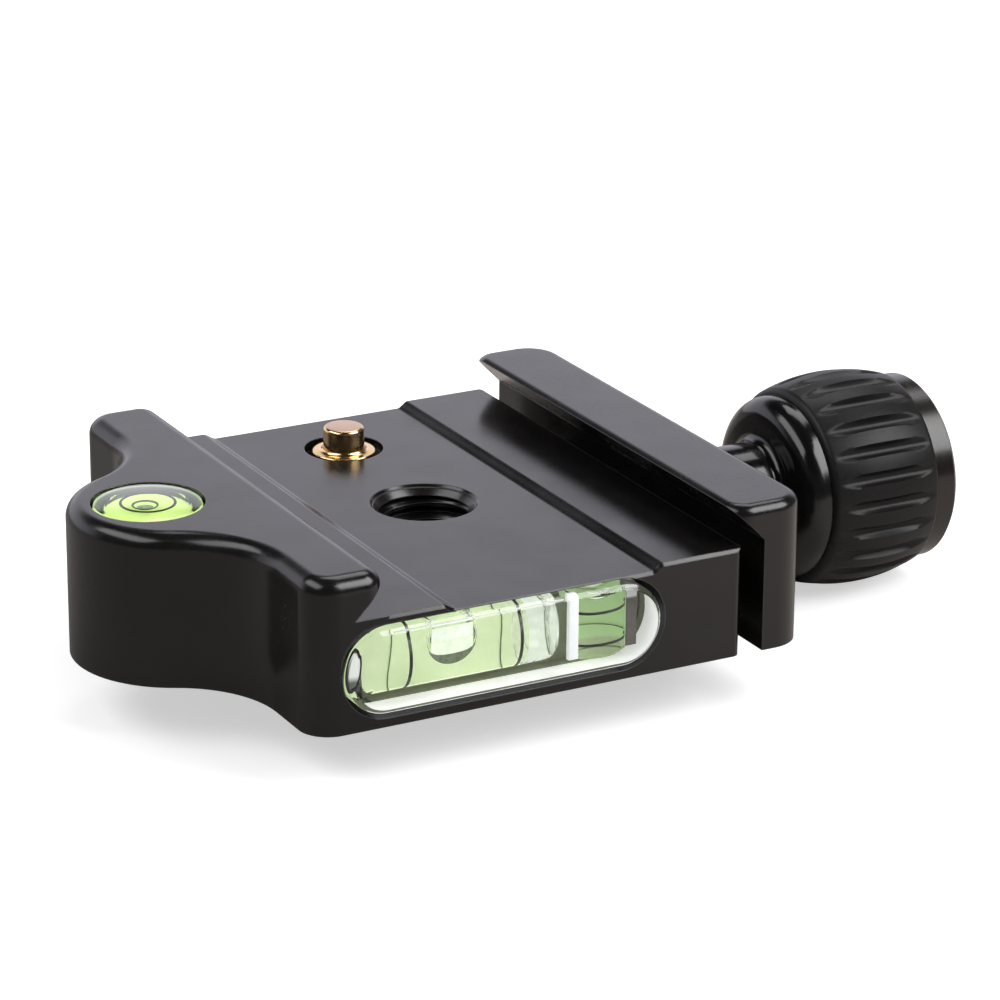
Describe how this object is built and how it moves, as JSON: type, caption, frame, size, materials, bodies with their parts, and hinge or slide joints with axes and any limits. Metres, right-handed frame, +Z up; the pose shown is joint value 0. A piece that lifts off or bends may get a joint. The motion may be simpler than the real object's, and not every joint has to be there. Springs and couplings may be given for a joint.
{
  "type": "dovetail quick release clamp",
  "caption": "Screw-operated dovetail clamp for a camera plate, with sliding jaw, ribbed knob, sprung safety pin, round level and two-way tube level.",
  "frame": {"origin": "axis of the central threaded hole, at the body's bottom face", "axes": "+X along the clamp screw towards the knob, +Y along the dovetail channel away from the two-way level, +Z up out of the channel"},
  "size_m": [0.0873, 0.051, 0.0205],
  "materials": {
    "anodised_body": "black anodised, fine blasted",
    "anodised_jaw": "black anodised, fine blasted",
    "gloss_black_metal": "black anodised, polished",
    "steel": "turned",
    "brass": "turned, polished",
    "grip_rubber": "moulded, matte",
    "clear_acrylic": "polished clear acrylic",
    "level_liquid": "clear yellow-green liquid",
    "frosted_plug": "frosted acrylic",
    "pale_backing": "matte white",
    "mark_black": "printed line"
  },
  "bodies": {
    "base": {"base_body": "anodised_body", "pin_bush": "brass", "pin_spring": "steel", "jaw_spring_front": "steel", "jaw_spring_back": "steel", "bullseye_vial": "clear_acrylic", "bullseye_liquid": "level_liquid", "bullseye_ring": "mark_black", "bullseye_backing": "pale_backing", "level_block": "clear_acrylic", "level_backing": "pale_backing", "level_divider": "pale_backing", "level_liquid": "level_liquid", "level_rings": "mark_black", "level_plug": "frosted_plug", "plumb_liquid": "level_liquid", "plumb_rings": "mark_black", "plumb_plug": "clear_acrylic"},
    "jaw": {"moving_jaw": "anodised_jaw", "guide_rod_front": "steel", "guide_rod_back": "steel"},
    "knob": {"clamp_screw": "steel", "thrust_washer": "steel", "knob_core": "gloss_black_metal", "knob_grip": "grip_rubber", "knob_end_cap": "gloss_black_metal", "knob_lock_screw": "steel"},
    "pin": {"safety_pin": "brass"}
  },
  "joints": [
    {"name": "jaw_slide", "type": "slide", "parent": "base", "child": "jaw", "axis": [1, 0, 0], "range_m": [-0.002, 0.003], "deforming": ["jaw_spring_front", "jaw_spring_back"]},
    {"name": "knob_turn", "type": "hinge", "parent": "jaw", "child": "knob", "pos_m": [0.03, 0, 0.00475], "axis": [1, 0, 0], "range_deg": [-720, 1080]},
    {"name": "pin_press", "type": "slide", "parent": "base", "child": "pin", "axis": [0, 0, 1], "range_m": [-0.0022, 0], "stiffness_N_per_m": 400, "springref_m": 0.001, "deforming": ["pin_spring"]}
  ],
  "couplings": [
    {"joint": "knob_turn", "follows": "jaw_slide", "rad_per_m": 6283.2}
  ]
}
